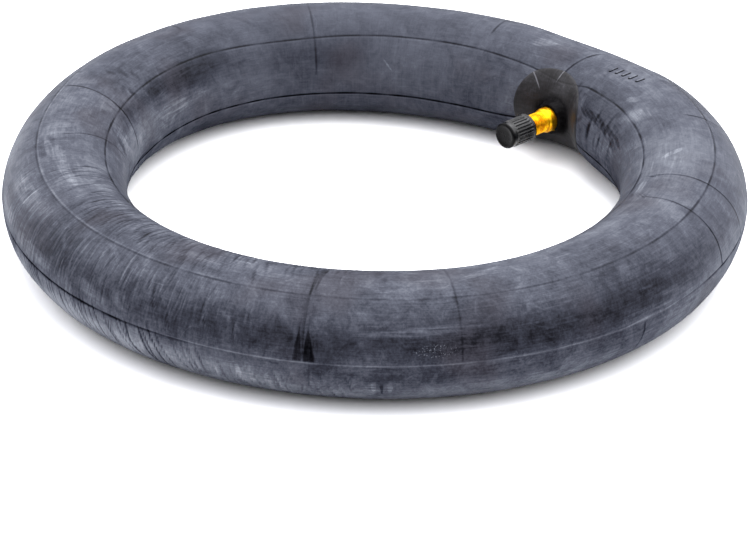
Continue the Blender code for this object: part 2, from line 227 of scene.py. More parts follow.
def line_shift(line, turn):
    """How far, in degrees of around, a line that runs round the ring wanders from its place."""
    if line == INNER_LINE:
        return inner_line_shift(turn)
    if line == INSIDE_LINE:
        return -9.0 * bell(wrapped(turn + 138.0), 14.0) + 0.6 * np.sin(np.radians(5 * turn))
    if line == EQUATOR:
        return 0.9 * np.sin(np.radians(2 * turn + 40.0)) + 0.25 * np.sin(np.radians(9 * turn))
    return 1.1 * np.sin(np.radians(2 * turn - 60.0))


def across_turn(line, around):
    """The turn of a line across the tube, at each place round the section."""
    turn, slant, bend = line[:3]
    return turn + slant * (around - 90.0) + bend * fade(around, 100.0, 140.0)


def distance_round(turn, around, line):
    """Millimetres from a line that runs round the ring."""
    return np.radians(wrapped(around - line - line_shift(line, turn))) * SKIN_RADIUS


def distance_across(turn, around, line):
    """Millimetres from a line across the tube."""
    local_radius = RING_RADIUS + HALF_WIDTH * np.cos(np.radians(around))
    return np.radians(wrapped(turn - across_turn(line, around))) * local_radius


def waves(rng, turn, around, count, lowest, highest):
    """Smooth random field that closes on itself round the ring and round the section."""
    field = np.zeros(np.broadcast(turn, around).shape)
    for _ in range(count):
        round_ring = int(rng.integers(lowest[0], highest[0] + 1))
        round_section = int(rng.integers(lowest[1], highest[1] + 1)) * int(rng.choice((-1, 1)))
        phase = rng.uniform(0, TAU)
        field += np.cos(np.radians(round_ring * turn + round_section * around) + phase)
    return field / math.sqrt(count)


def make_wrinkles():
    """Fine creases where the rubber was folded.

    Each is (turn, slant, from, to, width, depth, how dark, how light): how dark sets the painted shade in
    the crease, how light the painted highlight beside it.
    """
    rng = np.random.default_rng(11)
    creases = []

    def scatter(count, turns, lows, lengths, slant, width, depths, dark, light):
        """Creases here and there between two turns."""
        for _ in range(count):
            low = rng.uniform(*lows)
            high = low + rng.uniform(*lengths)
            place = (rng.uniform(*turns), rng.normal(slant, 0.022), low, high)
            creases.append((*place, width, rng.uniform(*depths), dark, light))

    def row(first, last, steps, lows, highs, slant, width, depths, dark, light):
        """Creases side by side, like the teeth of a comb."""
        turn = first
        while turn < last:
            turn += rng.uniform(*steps)
            place = (turn, rng.normal(slant, 0.008), rng.uniform(*lows), rng.uniform(*highs))
            creases.append((*place, width, rng.uniform(*depths), dark, light))

    scatter(200, (-117, -62), (66, 112), (12, 36), -0.05, 0.38, (0.25, 0.9), 0.5, 0.5)
    scatter(60, (-62, -40), (76, 112), (10, 26), -0.03, 0.45, (0.25, 0.7), 0.4, 0.5)
    scatter(120, (-124, -62), (0, 40), (12, 34), -0.01, 0.38, (0.25, 0.7), 0.35, 0.9)
    row(-118, -66, (0.9, 2.2), (20, 36), (54, 64), -0.017, 0.36, (0.4, 1.0), 0.1, 1.2)
    row(-119, -79, (0.75, 1.35), (-54, -42), (-3, 0), -0.04, 0.38, (0.5, 1.0), 1.2, 0.6)
    row(-79, -71, (0.9, 1.6), (-52, -40), (-6, -2), -0.04, 0.40, (0.3, 0.6), 0.8, 0.8)
    row(-106, -66, (0.7, 1.5), (84, 98), (116, 130), -0.04, 0.36, (0.3, 1.0), 0.8, 0.4)
    scatter(60, (-72, -48), (-60, -24), (10, 20), -0.04, 0.45, (0.2, 0.8), 0.4, 1.0)
    scatter(50, (196, 232), (30, 140), (10, 26), 0.0, 0.45, (0.2, 0.6), 0.6, 0.6)
    scatter(50, (60, 84), (135, 175), (10, 26), 0.0, 0.5, (0.3, 0.8), 0.7, 0.5)
    return creases


WRINKLES = make_wrinkles()


def relief(turn, around):
    """Height of the moulded detail in millimetres, and how dark and how light it makes the rubber.

    Each line is a groove, dark with painted shade, with a raised lip beside it, pale with a painted
    highlight. Wrinkles get painted shade and highlights the same way.
    """
    rng = np.random.default_rng(5)
    height = 0.10 * waves(rng, turn, around, 12, (2, 0), (9, 2))
    height += 0.035 * waves(rng, turn, around, 14, (10, 1), (30, 5))
    broken = 0.72 + 0.28 * np.clip(waves(rng, turn, around, 10, (20, 2), (70, 9)), -1, 1)
    dark = np.zeros(height.shape)
    light = np.zeros(height.shape)

    for line, depth in LINES_ROUND:
        away = distance_round(turn, around, line)
        strength = depth * broken
        if line == EQUATOR:
            front = span(wrapped(turn + 30.0), -46.0, 42.0, 16.0)
            height += 0.16 * bell(away - 0.5, 0.45)
            height -= 0.22 * (1.0 - 0.7 * front) * bell(away + 0.25, 0.4)
            dark += (1.4 - 1.35 * front) * broken * bell(away + 0.20, 0.45)
            light += (0.2 + 1.1 * front) * broken * bell(away - 0.35 + 0.3 * front, 0.32)
        else:
            highlit_stretch = np.zeros(turn.shape)
            if line == UPPER_LINE:
                strength = strength * (1.0 - 0.7 * bell(wrapped(turn + 32.0), 46.0))
                # Along this stretch of the ring the upper line gets less painted shade and more painted
                # highlight.
                highlit_stretch = bell(wrapped(turn + 105.0), 40.0)
            height += strength * (0.10 * bell(away - 0.3, 0.35) - 0.14 * bell(away + 0.25, 0.3))
            dark += (1.35 - 0.75 * highlit_stretch) * strength * bell(away + 0.2, 0.30)
            light += (0.5 + 1.1 * highlit_stretch) * strength * bell(away - 0.40, 0.3)

    for line in LINES_ACROSS:
        low, high, depth = line[3:]
        away = distance_across(turn, around, line)
        strength = depth * broken * span(around, low, high, 2.0)
        height += strength * (0.10 * bell(away - 0.35, 0.35) - 0.12 * bell(away, 0.3))
        dark += 1.6 * strength * bell(away, 0.33)
        light += 0.4 * strength * bell(away - 0.7, 0.35)

    for crease_turn, slant, low, high, width, depth, darkness, lightness in WRINKLES:
        line = (crease_turn, slant, 0.0)
        wander = 0.35 * np.sin(np.radians(around * 7.0 + crease_turn * 40.0))
        away = distance_across(turn, around, line) + wander
        strength = depth * span(around, low, high, (high - low) * 0.22)
        height += 0.09 * strength * (bell(away - 0.45, width) - 1.2 * bell(away, width * 0.7))
        dark += 0.8 * darkness * strength * bell(away, width * 0.75)
        light += 0.55 * lightness * strength * bell(away - 0.65, width * 0.75)
    return height, np.clip(dark, 0, 1), np.clip(light, 0, 1)


# Broad patches of tone on the rubber: (turn, around, half-length round, half-length across, amount).
# Above zero is pale bloom, below zero is clean dark rubber. The two dark patches at around 20 on the front
# side are partly clean rubber and partly painted shade of the band that faces the dim horizon.
PATCHES = (
    (-58, 20, 46, 17, -0.23),
    (-10, 20, 26, 18, -0.25),
    (-78, -16, 30, 12, 0.16),
    (-30, -8, 34, 9, -0.10),
    (150, 168, 60, 24, 0.12),
    (-128, 12, 24, 22, 0.17),
    (-100, -26, 26, 20, 0.24),
    (-104, 6, 26, 18, 0.10),
    (-36, -16, 24, 14, -0.20),
    (-70, 74, 14, 14, -0.10),
    (-95, 112, 26, 13, 0.19),
    (-5, 112, 26, 13, 0.21),
    (64, 166, 14, 18, 0.12),
    (-166, 64, 16, 14, 0.08),
    (14, 4, 30, 20, 0.15),
    (22, -4, 20, 24, 0.20),
    (-108, 22, 18, 15, -0.14),
    (-160, 82, 52, 26, 0.02),
    (-172, 148, 16, 16, -0.19),
    (-132, 40, 17, 28, 0.27),
    (-142, 166, 18, 26, 0.30),
    (-78, -24, 20, 14, 0.10),
    (-76, 6, 16, 10, 0.07),
    (-70, 106, 12, 12, 0.10),
    (48, 46, 18, 14, 0.12),
    (60, 124, 6, 15, 0.15),
    (-160, 104, 24, 12, -0.08),
    (120, 88, 32, 12, 0.07),
    (-125, 84, 22, 14, 0.06),
    (45, 88, 48, 30, 0.13),
    (110, 84, 46, 22, 0.09),
    (-50, 84, 46, 18, 0.10),
    (40, 130, 16, 26, 0.12),
    (112, 152, 14, 16, 0.02),
    (150, 156, 26, 16, -0.14),
    (-162, 143, 24, 10, -0.22),
    (62, 150, 16, 12, -0.06),
    (45, 146, 24, 26, 0.08),
    (-130, 98, 28, 30, 0.13),
    (-150, 20, 34, 18, 0.08),
    (20, 84, 30, 30, 0.10),
    (5, 30, 16, 12, -0.04),
)


def tone(turn, around):
    """Broad light and dark patches of the rubber, with painted shade low down where the tube meets the
    floor.
    """
    rng = np.random.default_rng(23)
    field = 0.055 * waves(rng, turn, around, 16, (3, 0), (14, 4))
    lower_side = 0.20 + 0.22 * bell(wrapped(turn + 115.0), 35.0) + 0.12 * bell(wrapped(turn - 25.0), 22.0)
    field += lower_side * bell(wrapped(around + 38.0), 27.0)
    # Painted shade on the underside, below around -55, where the tube nears the floor.
    field -= 0.65 * fade(around, -55.0, -66.0)
    for patch_turn, patch_around, length, width, amount in PATCHES:
        away = np.hypot(wrapped(turn - patch_turn) / length, wrapped(around - patch_around) / width)
        field += amount * np.exp(-(away ** 2))
    return field


# ---------------- meshes

def add_mesh(name, points_mm, faces, body, material, replaced=()):
    """A smooth-shaded piece from points in millimetres, riding on a body."""
    mesh = bpy.data.meshes.new(name)
    mesh.from_pydata((np.asarray(points_mm) * MM).tolist(), [], faces)
    mesh.validate()
    mesh.shade_smooth()
    mesh.materials.append(material)
    piece = bpy.data.objects.new(name, mesh)
    bpy.context.scene.collection.objects.link(piece)
    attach(piece, body)
    if replaced:
        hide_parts(*replaced)
    return piece


def grid_faces(rows, columns, close_rows=True, flip=False):
    """Quads between the points of a grid, numbered row by row. Each row is closed to a loop."""
    row = np.arange(rows if close_rows else rows - 1)
    row, column = np.meshgrid(row, np.arange(columns), indexing="ij")
    next_row, next_column = (row + 1) % rows, (column + 1) % columns
    corners = [row * columns + column, next_row * columns + column,
               next_row * columns + next_column, row * columns + next_column]
    if flip:
        corners.reverse()
    return np.stack(corners, axis=-1).reshape(-1, 4).tolist()


def store(piece, name, values):
    """Keep one number, or one vector, for each vertex, for the materials to read."""
    values = np.asarray(values, dtype=np.float32)
    kind = "FLOAT_VECTOR" if values.ndim == 2 else "FLOAT"
    attribute = piece.data.attributes.new(name, kind, "POINT")
    attribute.data.foreach_set("vector" if values.ndim == 2 else "value", values.ravel())


def store_skin(piece, turn, around, dark, light):
    """What the rubber materials read: a map of the skin in millimetres, the painted shade and painted
    highlights of its lines, tone with painted shade near the floor, and brushing.

    "lively" is how strong the fine texture is, and "shine" is the specular level.
    """
    turn_angle = np.radians(turn)
    x, y = RING_RADIUS * np.cos(turn_angle), RING_RADIUS * np.sin(turn_angle)
    store(piece, "skin", np.stack((x, y, np.radians(around) * SKIN_RADIUS), axis=-1).reshape(-1, 3))
    store(piece, "dark", dark.ravel())
    store(piece, "light", light.ravel())
    store(piece, "tone", tone(turn, around).ravel())
    brushed_across = bell(wrapped(turn + 96.0), 36.0) + 0.6 * bell(wrapped(turn - 132.0), 36.0)
    store(piece, "brushed", brushed_across.ravel())
    calm = 0.05 * bell(wrapped(turn + 25.0), 32.0) + 0.50 * bell(wrapped(turn - 140.0), 50.0)
    calm = calm + 0.32 * bell(wrapped(turn - 38.0), 40.0) + 0.16 * bell(wrapped(turn + 110.0), 60.0)
    store(piece, "lively", (1.0 - calm).ravel())
    store(piece, "shine", (0.06 * fade(np.sin(np.radians(around)), 0.0, 0.75)).ravel())


# Steps of the ring's grid, in degrees. The columns are finer where the ring is full of wrinkles.
WRINKLED_FROM = 234.0
WRINKLED_TO = 314.0
COLUMN_STEP = 0.78
FINE_COLUMN_STEP = 0.21
ROW_STEP = 5.0
SEAM_AROUND = -90.0


def with_clusters(low, high, step, centres, offsets):
    """Even steps from low to high, with a cluster of extra ones around each centre."""
    near = max(abs(offset) for offset in offsets)
    values = [value for value in np.arange(low, high, step)
              if all(abs(value - centre) > near + 0.3 * step for centre in centres)]
    values += [centre + offset for centre in centres for offset in offsets]
    return np.array(sorted(values))


def tube_columns():
    """Turns of the grid's columns: close together on the mould lines and in the wrinkles."""
    lines = [line[0] % 360.0 for line in LINES_ACROSS if line[0] != TWIN_LINE]
    lines = [line for line in lines if not WRINKLED_FROM < line < WRINKLED_TO]
    millimetre = math.degrees(1 / RING_RADIUS)
    offsets = [offset * millimetre for offset in (-0.9, -0.55, -0.28, 0, 0.28, 0.55, 0.9)]
    coarse = with_clusters(0.0, 360.0, COLUMN_STEP, lines, offsets)
    coarse = coarse[(coarse < WRINKLED_FROM) | (coarse > WRINKLED_TO)]
    fine = np.arange(WRINKLED_FROM + 0.2, WRINKLED_TO - 0.1, FINE_COLUMN_STEP)
    return np.sort(np.concatenate((coarse, fine)))


def make_tube(material):
    """The rubber ring. Its grid is closed both ways, with the section's seam underneath."""
    columns = tube_columns()
    millimetre = math.degrees(1 / SKIN_RADIUS)
    offsets = [offset * millimetre for offset in (-0.95, -0.6, -0.3, 0, 0.3, 0.6, 0.95)]
    lines = [line + 360.0 if line < SEAM_AROUND else line for line, _ in LINES_ROUND]
    rows = with_clusters(SEAM_AROUND + 0.5, SEAM_AROUND + 359.6, ROW_STEP, lines, offsets)
    turn, around = np.meshgrid(columns, rows, indexing="ij")
    shifted = around.copy()
    for line, _ in LINES_ROUND:
        shifted += line_shift(line, turn) * bell(wrapped(around - line), 16.0)
    slanted = turn.copy()
    for line in LINES_ACROSS:
        offset = across_turn(line, np.clip(shifted, SEAM_AROUND, 200.0)) - line[0]
        slanted += offset * bell(wrapped(turn - line[0]), 9.0) * fade(shifted, 250.0, 200.0)
    turn, around = slanted, shifted
    height, dark, light = relief(turn, around)
    height *= 1.0 - bell(wrapped(around - SEAM_AROUND), 9.0)
    points = wall(turn, around, height)
    points = np.clip(points, np.array(CAD_LOW) / MM, np.array(CAD_HIGH) / MM).reshape(-1, 3)
    faces = grid_faces(len(columns), len(rows))
    piece = add_mesh("tube_skin", points, faces, "tube", material, ["tube_body"])
    store_skin(piece, turn, around, dark, light)
    return piece


def valve_point(radius, angle, height):
    """A point by the valve: angle round its axis, height measured out from the ring's wall."""
    return np.stack((VALVE_FOOT[0] + radius * np.cos(angle),
                     VALVE_FOOT[1] - height + 0 * angle,
                     VALVE_FOOT[2] + radius * np.sin(angle)), axis=-1)


BASE_RADIUS = 17.0
BASE_THICKNESS = 0.4
BASE_HOLE_RADIUS = 4.9
BASE_SINK = -0.9
BASE_RELIEF = 0.9
NECK_FOOT_RADIUS = 6.55
NECK_TOP_RADIUS = 5.7
NECK_TOP = 3.6


def make_base(material):
    """The rubber patch and neck that hold the stem: a thin disc draped over the ring's inner side.

    It is a stack of loops: out from inside the wall, over the rim, in to the neck, up it and down its bore.
    """
    steps = 160
    angle = np.linspace(0, TAU, steps, endpoint=False)
    trial = np.linspace(FOOT_TURN - 20, FOOT_TURN + 20, 400)
    path = wall(trial, 180.0)
    walked = np.concatenate(([0], np.cumsum(np.linalg.norm(np.diff(path, axis=0), axis=1))))
    walked -= np.interp(FOOT_TURN, trial, walked)
    section_radius = sum(half_sizes(np.array(FOOT_TURN))) / 2

    degrees = np.degrees(angle)
    ripple = 1.0 + 0.006 * np.sin(3 * angle + 1.0) + 0.004 * np.sin(7 * angle)
    corner = 0.11 * bell(wrapped(degrees - 8.0), 30.0)
    corner -= 0.12 * bell(wrapped(degrees - 58.0), 24.0)
    corner -= 0.08 * bell(wrapped(degrees - 195.0), 50.0)
    loops = []

    def draped(radius, lift):
        """A loop that lies on the wall. Its rim is a little out of round."""
        uneven = radius * (ripple + corner * fade(radius, 7.0, 14.0))
        turn = np.interp(-uneven * np.cos(angle), walked, trial)
        around = FOOT_AROUND - np.degrees(uneven * np.sin(angle) / section_radius)
        height, dark, light = relief(turn, around)
        points = wall(turn, around, lift + BASE_RELIEF * height)
        return points, turn, around, dark, light

    def loop(radius, lift, upright_radius=None, upright_height=0.0, share=0.0):
        """Add a loop that is draped on the wall, or by a share stands square to the valve's axis."""
        points, turn, around, dark, light = draped(radius, lift)
        if share:
            upright = valve_point(upright_radius, angle, upright_height)
            points = points * (1 - share) + upright * share
            dark, light = dark * (1 - share), light * (1 - share)
        loops.append((points, turn, around, dark, light))

    thick = BASE_THICKNESS
    loop(BASE_HOLE_RADIUS, BASE_SINK)
    loop(BASE_RADIUS - 1.2, -0.5)
    loop(BASE_RADIUS + 0.15, -0.25)
    loop(BASE_RADIUS + 0.12, 0.1)
    loop(BASE_RADIUS - 0.05, 0.45 * thick)
    loop(BASE_RADIUS - 0.3, 0.8 * thick)
    loop(BASE_RADIUS - 0.7, thick)
    for radius in np.arange(BASE_RADIUS - 1.1, 6.75, -0.42):
        loop(radius, thick)
    for share in np.linspace(0.08, 1.0, 10):
        radius = NECK_FOOT_RADIUS + (NECK_TOP_RADIUS - NECK_FOOT_RADIUS) * share
        loop(radius, thick, radius, 0.8 + 2.35 * share ** 1.2, fade(share, 0.0, 1.0))
    neck_rim = (
        (5.62, NECK_TOP - 0.3),
        (5.45, NECK_TOP - 0.08),
        (5.25, NECK_TOP),
        (4.85, NECK_TOP),
        (4.6, NECK_TOP - 0.12),
        (4.5, NECK_TOP - 0.4),
        (4.5, 1.6),
    )
    for radius, height in neck_rim:
        loop(radius, thick, radius, height, 1.0)
    loop(BASE_HOLE_RADIUS, BASE_SINK, 4.6, 0.4, 1.0)
    points, turn, around, dark, light = (np.stack(values) for values in zip(*loops))
    points = points.reshape(-1, 3)
    faces = grid_faces(len(loops), steps, flip=True)
    piece = add_mesh("valve_patch", points, faces, "tube", material, ["valve_base"])
    store_skin(piece, turn, around, dark, light)
    return piece


def turned(name, profile, steps, body, material, replaced=(), wave=None):
    """A closed outline of (radius, height) points spun round the valve's axis.

    wave(radius, height, angle) may change the radius, for ribs and threads.
    """
    angle = np.linspace(0, TAU, steps, endpoint=False)
    radius = np.array([point[0] for point in profile])[:, None] + 0 * angle
    height = np.array([point[1] for point in profile])[:, None] + 0 * angle
    if wave:
        radius = wave(radius, height, angle[None, :] + 0 * radius)
    points = valve_point(radius, angle[None, :] + 0 * radius, height)
    faces = grid_faces(len(profile), steps, flip=True)
    return add_mesh(name, points.reshape(-1, 3), faces, body, material, replaced)


def along(start, end, count):
    """Points from start to end, without the end."""
    return [(start[0] + (end[0] - start[0]) * k / count, start[1] + (end[1] - start[1]) * k / count)
            for k in range(count)]


# The stem. Heights are measured along its axis, out from the ring's wall.
INCH = 25.4
PITCH = INCH / 32
STEM_FOOT_RADIUS = 5.0
STEM_FOOT_LOW = 1.5
STEM_FOOT_HIGH = 2.1
COLLAR_RADIUS = 4.45
COLLAR_TOP = 5.5
THREAD_RADIUS = 3.85
THREAD_DEPTH = 0.48
THREAD_START = 6.7
THREAD_POINTS = 9
STEM_MOUTH = 22.9
CORE_BORE = 2.65
AIR_BORE = 2.2


def thread_wave(height, angle):
    """A rounded right-hand thread: 0 in the root, 1 on the crest."""
    phase = (height / PITCH + angle / TAU) % 1.0
    saw = 1.0 - np.abs(2.0 * phase - 1.0)
    return fade(saw, 0.12, 0.86)


def make_stem(material):
    """The brass stem: smooth collar at the foot, then a fine thread up to the mouth."""
    thread_end = STEM_MOUTH - 0.3
    thread_points = int((thread_end - THREAD_START) / PITCH * THREAD_POINTS)
    profile = [(STEM_FOOT_RADIUS, STEM_FOOT_LOW), (STEM_FOOT_RADIUS, STEM_FOOT_HIGH)]
    profile.append((COLLAR_RADIUS, STEM_FOOT_HIGH))
    profile += along((COLLAR_RADIUS, 3.0), (COLLAR_RADIUS, COLLAR_TOP), 3)
    profile += [(COLLAR_RADIUS, COLLAR_TOP), (4.42, 5.75), (4.33, 5.95)]
    profile += [(4.15, 6.2), (3.95, 6.42), (THREAD_RADIUS, 6.6)]
    profile += along((THREAD_RADIUS, THREAD_START), (THREAD_RADIUS, thread_end), thread_points)
    profile += [(3.62, STEM_MOUTH - 0.12), (3.5, STEM_MOUTH), (2.95, STEM_MOUTH), (CORE_BORE, thread_end)]
    profile += [(CORE_BORE, 19.0), (CORE_BORE, 15.9)]
    profile += [(AIR_BORE, 13.9), (AIR_BORE, 8.0), (AIR_BORE, STEM_FOOT_LOW)]

    def threaded(radius, height, angle):
        cut = span(height, THREAD_START + 0.5, STEM_MOUTH - 0.45, 0.4) * (radius > 3.7)
        return radius - THREAD_DEPTH * cut * (1.0 - thread_wave(height, angle))

    return turned("brass_stem", profile, 96, "tube", material, ["valve_stem"], threaded)


CAP_OPEN = 14.4
CAP_TIP = 25.7
CAP_FLANGE_RADIUS = 5.1
CAP_RIBS = 24
CAP_RIB_RADIUS = 4.78
CAP_RIB_DEPTH = 0.42
CAP_TIP_RADIUS = 4.65
CAP_TIP_ROUNDING = 0.62
CAP_BORE = 4.05
CAP_THREAD_DEPTH = 0.30


def make_cap(material):
    """The dust cap: a flange at the open end, ribs, a groove and a smooth tip that is slightly dished."""
    rib_low, rib_high = CAP_OPEN + 1.15, CAP_TIP - 2.75
    tip_side = CAP_TIP_RADIUS - 0.03
    bore_end = CAP_TIP - 1.6
    profile = [(4.0, CAP_OPEN + 0.35), (4.2, CAP_OPEN), (4.95, CAP_OPEN)]
    profile += [(CAP_FLANGE_RADIUS, CAP_OPEN + 0.15), (CAP_FLANGE_RADIUS, CAP_OPEN + 0.62)]
    profile += [(5.0, CAP_OPEN + 0.78), (4.8, CAP_OPEN + 0.85), (4.7, CAP_OPEN + 0.95)]
    profile += along((CAP_RIB_RADIUS, rib_low), (CAP_RIB_RADIUS, rib_high), 26)
    profile += [(CAP_RIB_RADIUS, rib_high), (4.45, rib_high + 0.16), (4.38, rib_high + 0.34)]
    profile += [(4.42, rib_high + 0.5), (CAP_TIP_RADIUS - 0.04, rib_high + 0.6)]
    profile.append((CAP_TIP_RADIUS, rib_high + 0.75))
    profile += along((CAP_TIP_RADIUS, rib_high + 1.0), (tip_side, CAP_TIP - 0.75), 4)
    for step in range(9):
        bend = step / 8 * TAU / 4
        radius = tip_side - CAP_TIP_ROUNDING + CAP_TIP_ROUNDING * math.cos(bend)
        profile.append((radius, CAP_TIP - CAP_TIP_ROUNDING + CAP_TIP_ROUNDING * math.sin(bend)))
    dished = ((3.7, 0.02), (3.3, 0.14), (2.8, 0.27), (1.9, 0.34), (1.0, 0.36), (0.4, 0.36), (0.02, 0.36))
    profile += [(radius, CAP_TIP - depth) for radius, depth in dished]
    profile += [(0.02, bore_end), (2.0, bore_end), (3.9, bore_end), (CAP_BORE, CAP_TIP - 1.8)]
    profile += along((CAP_BORE, CAP_TIP - 2.4), (CAP_BORE, CAP_OPEN + 0.5), 90)

    def ribbed(radius, height, angle):
        ribs = span(height, rib_low + 0.1, rib_high - 0.1, 0.18) * (radius > 4.74) * (radius < 4.8)
        groove = fade(np.cos(CAP_RIBS * angle), 0.35, -0.45)
        thread = (radius == CAP_BORE) * span(height, CAP_OPEN + 0.9, CAP_TIP - 2.8, 0.4)
        cut = CAP_RIB_DEPTH * ribs * groove
        return radius - cut - CAP_THREAD_DEPTH * thread * (1.0 - thread_wave(height, angle))

    steps = CAP_RIBS * 12
    return turned("ribbed_cap", profile, steps, "cap", material, ["dust_cap"], ribbed)


PLUG_RADIUS = 2.35
PLUG_LOW = 16.7
PLUG_THREAD_DEPTH = 0.18
POST_RADIUS = 1.75
POST_TOP = 22.3
POST_HALF_WIDTH = 1.15
PIN_HOLE_RADIUS = 0.85


def make_core(brass):
    """The core's threaded plug, with a post that has two flats and a hole for the pin."""
    plug = [(PLUG_RADIUS - 0.05, PLUG_LOW), (PLUG_RADIUS, PLUG_LOW + 0.1)]
    plug += along((PLUG_RADIUS, 16.9), (PLUG_RADIUS, 20.2), 44)
    plug += [(PLUG_RADIUS - 0.05, 20.3), (2.2, 20.4), (1.8, 20.4)]
    plug += [(POST_RADIUS, 20.5), (POST_RADIUS, 21.4), (POST_RADIUS, 22.2), (1.68, POST_TOP)]
    plug += [(1.0, POST_TOP), (PIN_HOLE_RADIUS, 22.2), (PIN_HOLE_RADIUS, 20.0), (PIN_HOLE_RADIUS, PLUG_LOW)]

    def cut(radius, height, angle):
        flat = POST_HALF_WIDTH / np.maximum(np.abs(np.cos(angle)), 0.2)
        on_post = (height > 20.45) * (radius > 1.2)
        thread = (radius == PLUG_RADIUS) * (1.0 - thread_wave(height * 1.15, angle))
        return np.where(on_post, np.minimum(radius, flat), radius) - PLUG_THREAD_DEPTH * thread

    return turned("core_screw", plug, 72, "tube", brass, ["core_plug"], cut)


BAR_COUNT = 5
BAR_SPACING = 3.7
BAR_HALF_WIDTH = 0.45
BAR_HALF_LENGTH = 1.6
BAR_TURN = 76.0
BAR_AROUND = 98.5
BAR_TILT = 11.0

# From a bar's foot to its top: (how much wider than the bar, height above the wall, how dark with painted
# shade).
BAR_LEVELS = (
    (0.05, -0.4, 1.0),
    (0.34, -0.1, 1.0),
    (0.28, 0.06, 1.0),
    (0.02, 0.10, 0.9),
    (-0.10, 0.22, 0.1),
    (-0.25, 0.27, 0.0),
)


def make_bars(material):
    """Plain bars moulded on the crown beside the valve, with painted shade round each foot and a painted
    highlight on top.
    """
    angle = np.linspace(0, TAU, 24, endpoint=False)
    side_u = np.sign(np.cos(angle)) * np.abs(np.cos(angle)) ** 0.5
    side_v = np.sign(np.sin(angle)) * np.abs(np.sin(angle)) ** 0.5
    tilt = math.radians(BAR_TILT)
    places, faces, turns, arounds, darks = [], [], [], [], []
    for bar in range(BAR_COUNT):
        middle = (bar - (BAR_COUNT - 1) / 2) * BAR_SPACING
        first = bar * len(BAR_LEVELS) * len(angle)
        for wider, lift, dark in BAR_LEVELS:
            u = middle + (BAR_HALF_WIDTH + wider) * side_u
            v = (BAR_HALF_LENGTH + wider) * side_v
            turn = BAR_TURN - np.degrees((u * math.cos(tilt) + v * math.sin(tilt)) / RING_RADIUS)
            around = BAR_AROUND - np.degrees((u * math.sin(tilt) - v * math.cos(tilt)) / SKIN_RADIUS)
            places.append(wall(turn, around, lift))
            turns.append(turn)
            arounds.append(around)
            darks.append(np.full(len(angle), dark))
        last = first + len(BAR_LEVELS) * len(angle) - 1
        quads = grid_faces(len(BAR_LEVELS), len(angle), close_rows=False)
        faces += [[first + corner for corner in quad] for quad in quads]
        faces.append(list(range(first, first + len(angle))))
        faces.append(list(range(last, last - len(angle), -1)))
    points = np.concatenate(places)
    piece = add_mesh("moulded_bars", points, faces, "tube", material)
    dark = np.concatenate(darks)
    # The foot gets painted shade and the top a painted highlight.
    store_skin(piece, np.concatenate(turns), np.concatenate(arounds), dark, 0.5 * (1.0 - dark))
    return piece


# ---------------- materials

# Marks on the rubber: (turn, around, length and width in millimetres, angle).
# At angle 0 they lie round the ring.
PALE_MARKS = (
    (-133, 86, 13, 14, 0),
    (-118, 86, 38, 3.5, 2),
    (-127, 76, 24, 2.5, 8),
    (-142, 148, 11, 8, 30),
    (-173, 168, 30, 5, 0),
    (-87.5, 14, 13, 4.5, -14),
    (-81.8, 18, 8, 5, -31),
    (-104, 12, 26, 5, 0),
    (-118, 15, 22, 6, 0),
    (-114, 45, 30, 7, 7),
    (-62.2, -22, 6, 1.8, 92),
    (-60.3, -28, 7.5, 1.6, 92),
    (-57.9, -32, 10, 2, 95),
    (-56, -40, 8, 1.6, 95),
    (-43.2, -26, 5, 1.3, 90),
    (-40.9, -25, 5, 1.5, 90),
    (-37, 32, 30, 3, 4),
    (60, 124, 14, 8, 40),
    (60.5, 123, 8, 5, 40),
    (66, 116, 6, 3, 20),
    (38.6, 102, 10, 2.2, -46),
    (-26, 91, 13, 1, 14),
    (-25, 95, 10, 0.8, 14),
    (-27.5, 86, 9, 0.7, 14),
    (131.3, 163, 6, 0.7, 136),
    (24, 122, 12, 3, 0),
    (99, 100, 11, 4, 30),
)
DARK_MARKS = (
    (76.2, 157.5, 5, 1.1, -12),
    (74.4, 156, 8, 1.2, -12),
    (72.6, 154, 10, 1.2, -10),
    (71.4, 157.5, 9, 1.2, -12),
    (69.2, 153, 12, 1.3, -9),
    (67.6, 156.5, 10, 1.2, -10),
    (66.2, 160, 11, 1.4, -12),
    (63.2, 154.5, 12, 1.2, -6),
    (62.6, 158, 11, 1.3, -8),
    (60.8, 163.5, 9, 1.4, -12),
    (58, 156, 10, 1.4, -6),
    (-139, 152, 6, 3, 60),
)

# Dark tongues: (turn and around of the foot, height, half-width at the foot, half-width at the top, lean).
# The height and the widths are in millimetres.
DARK_TONGUES = (
    (-53.7, 1.5, 12.5, 1.05, 0.1, -0.02),
    (-52, 1.2, 12.5, 1.45, 0.1, 0.06),
    (-53, 64, 15, 0.35, 0.7, -0.10),
    (-52.3, 70, 14, 0.25, 1.1, -0.08),
    (-42, -36, 6, 0.2, 0.5, 0.03),
)
SPECKLED_MARKS = (
    (-34.8, 14, 11, 4.5, 0),
)
PATCH_SCRATCHES = (
    (98.1, 151, 8, 0.6, 130),
    (91.6, 138, 6.5, 0.55, 76),
)


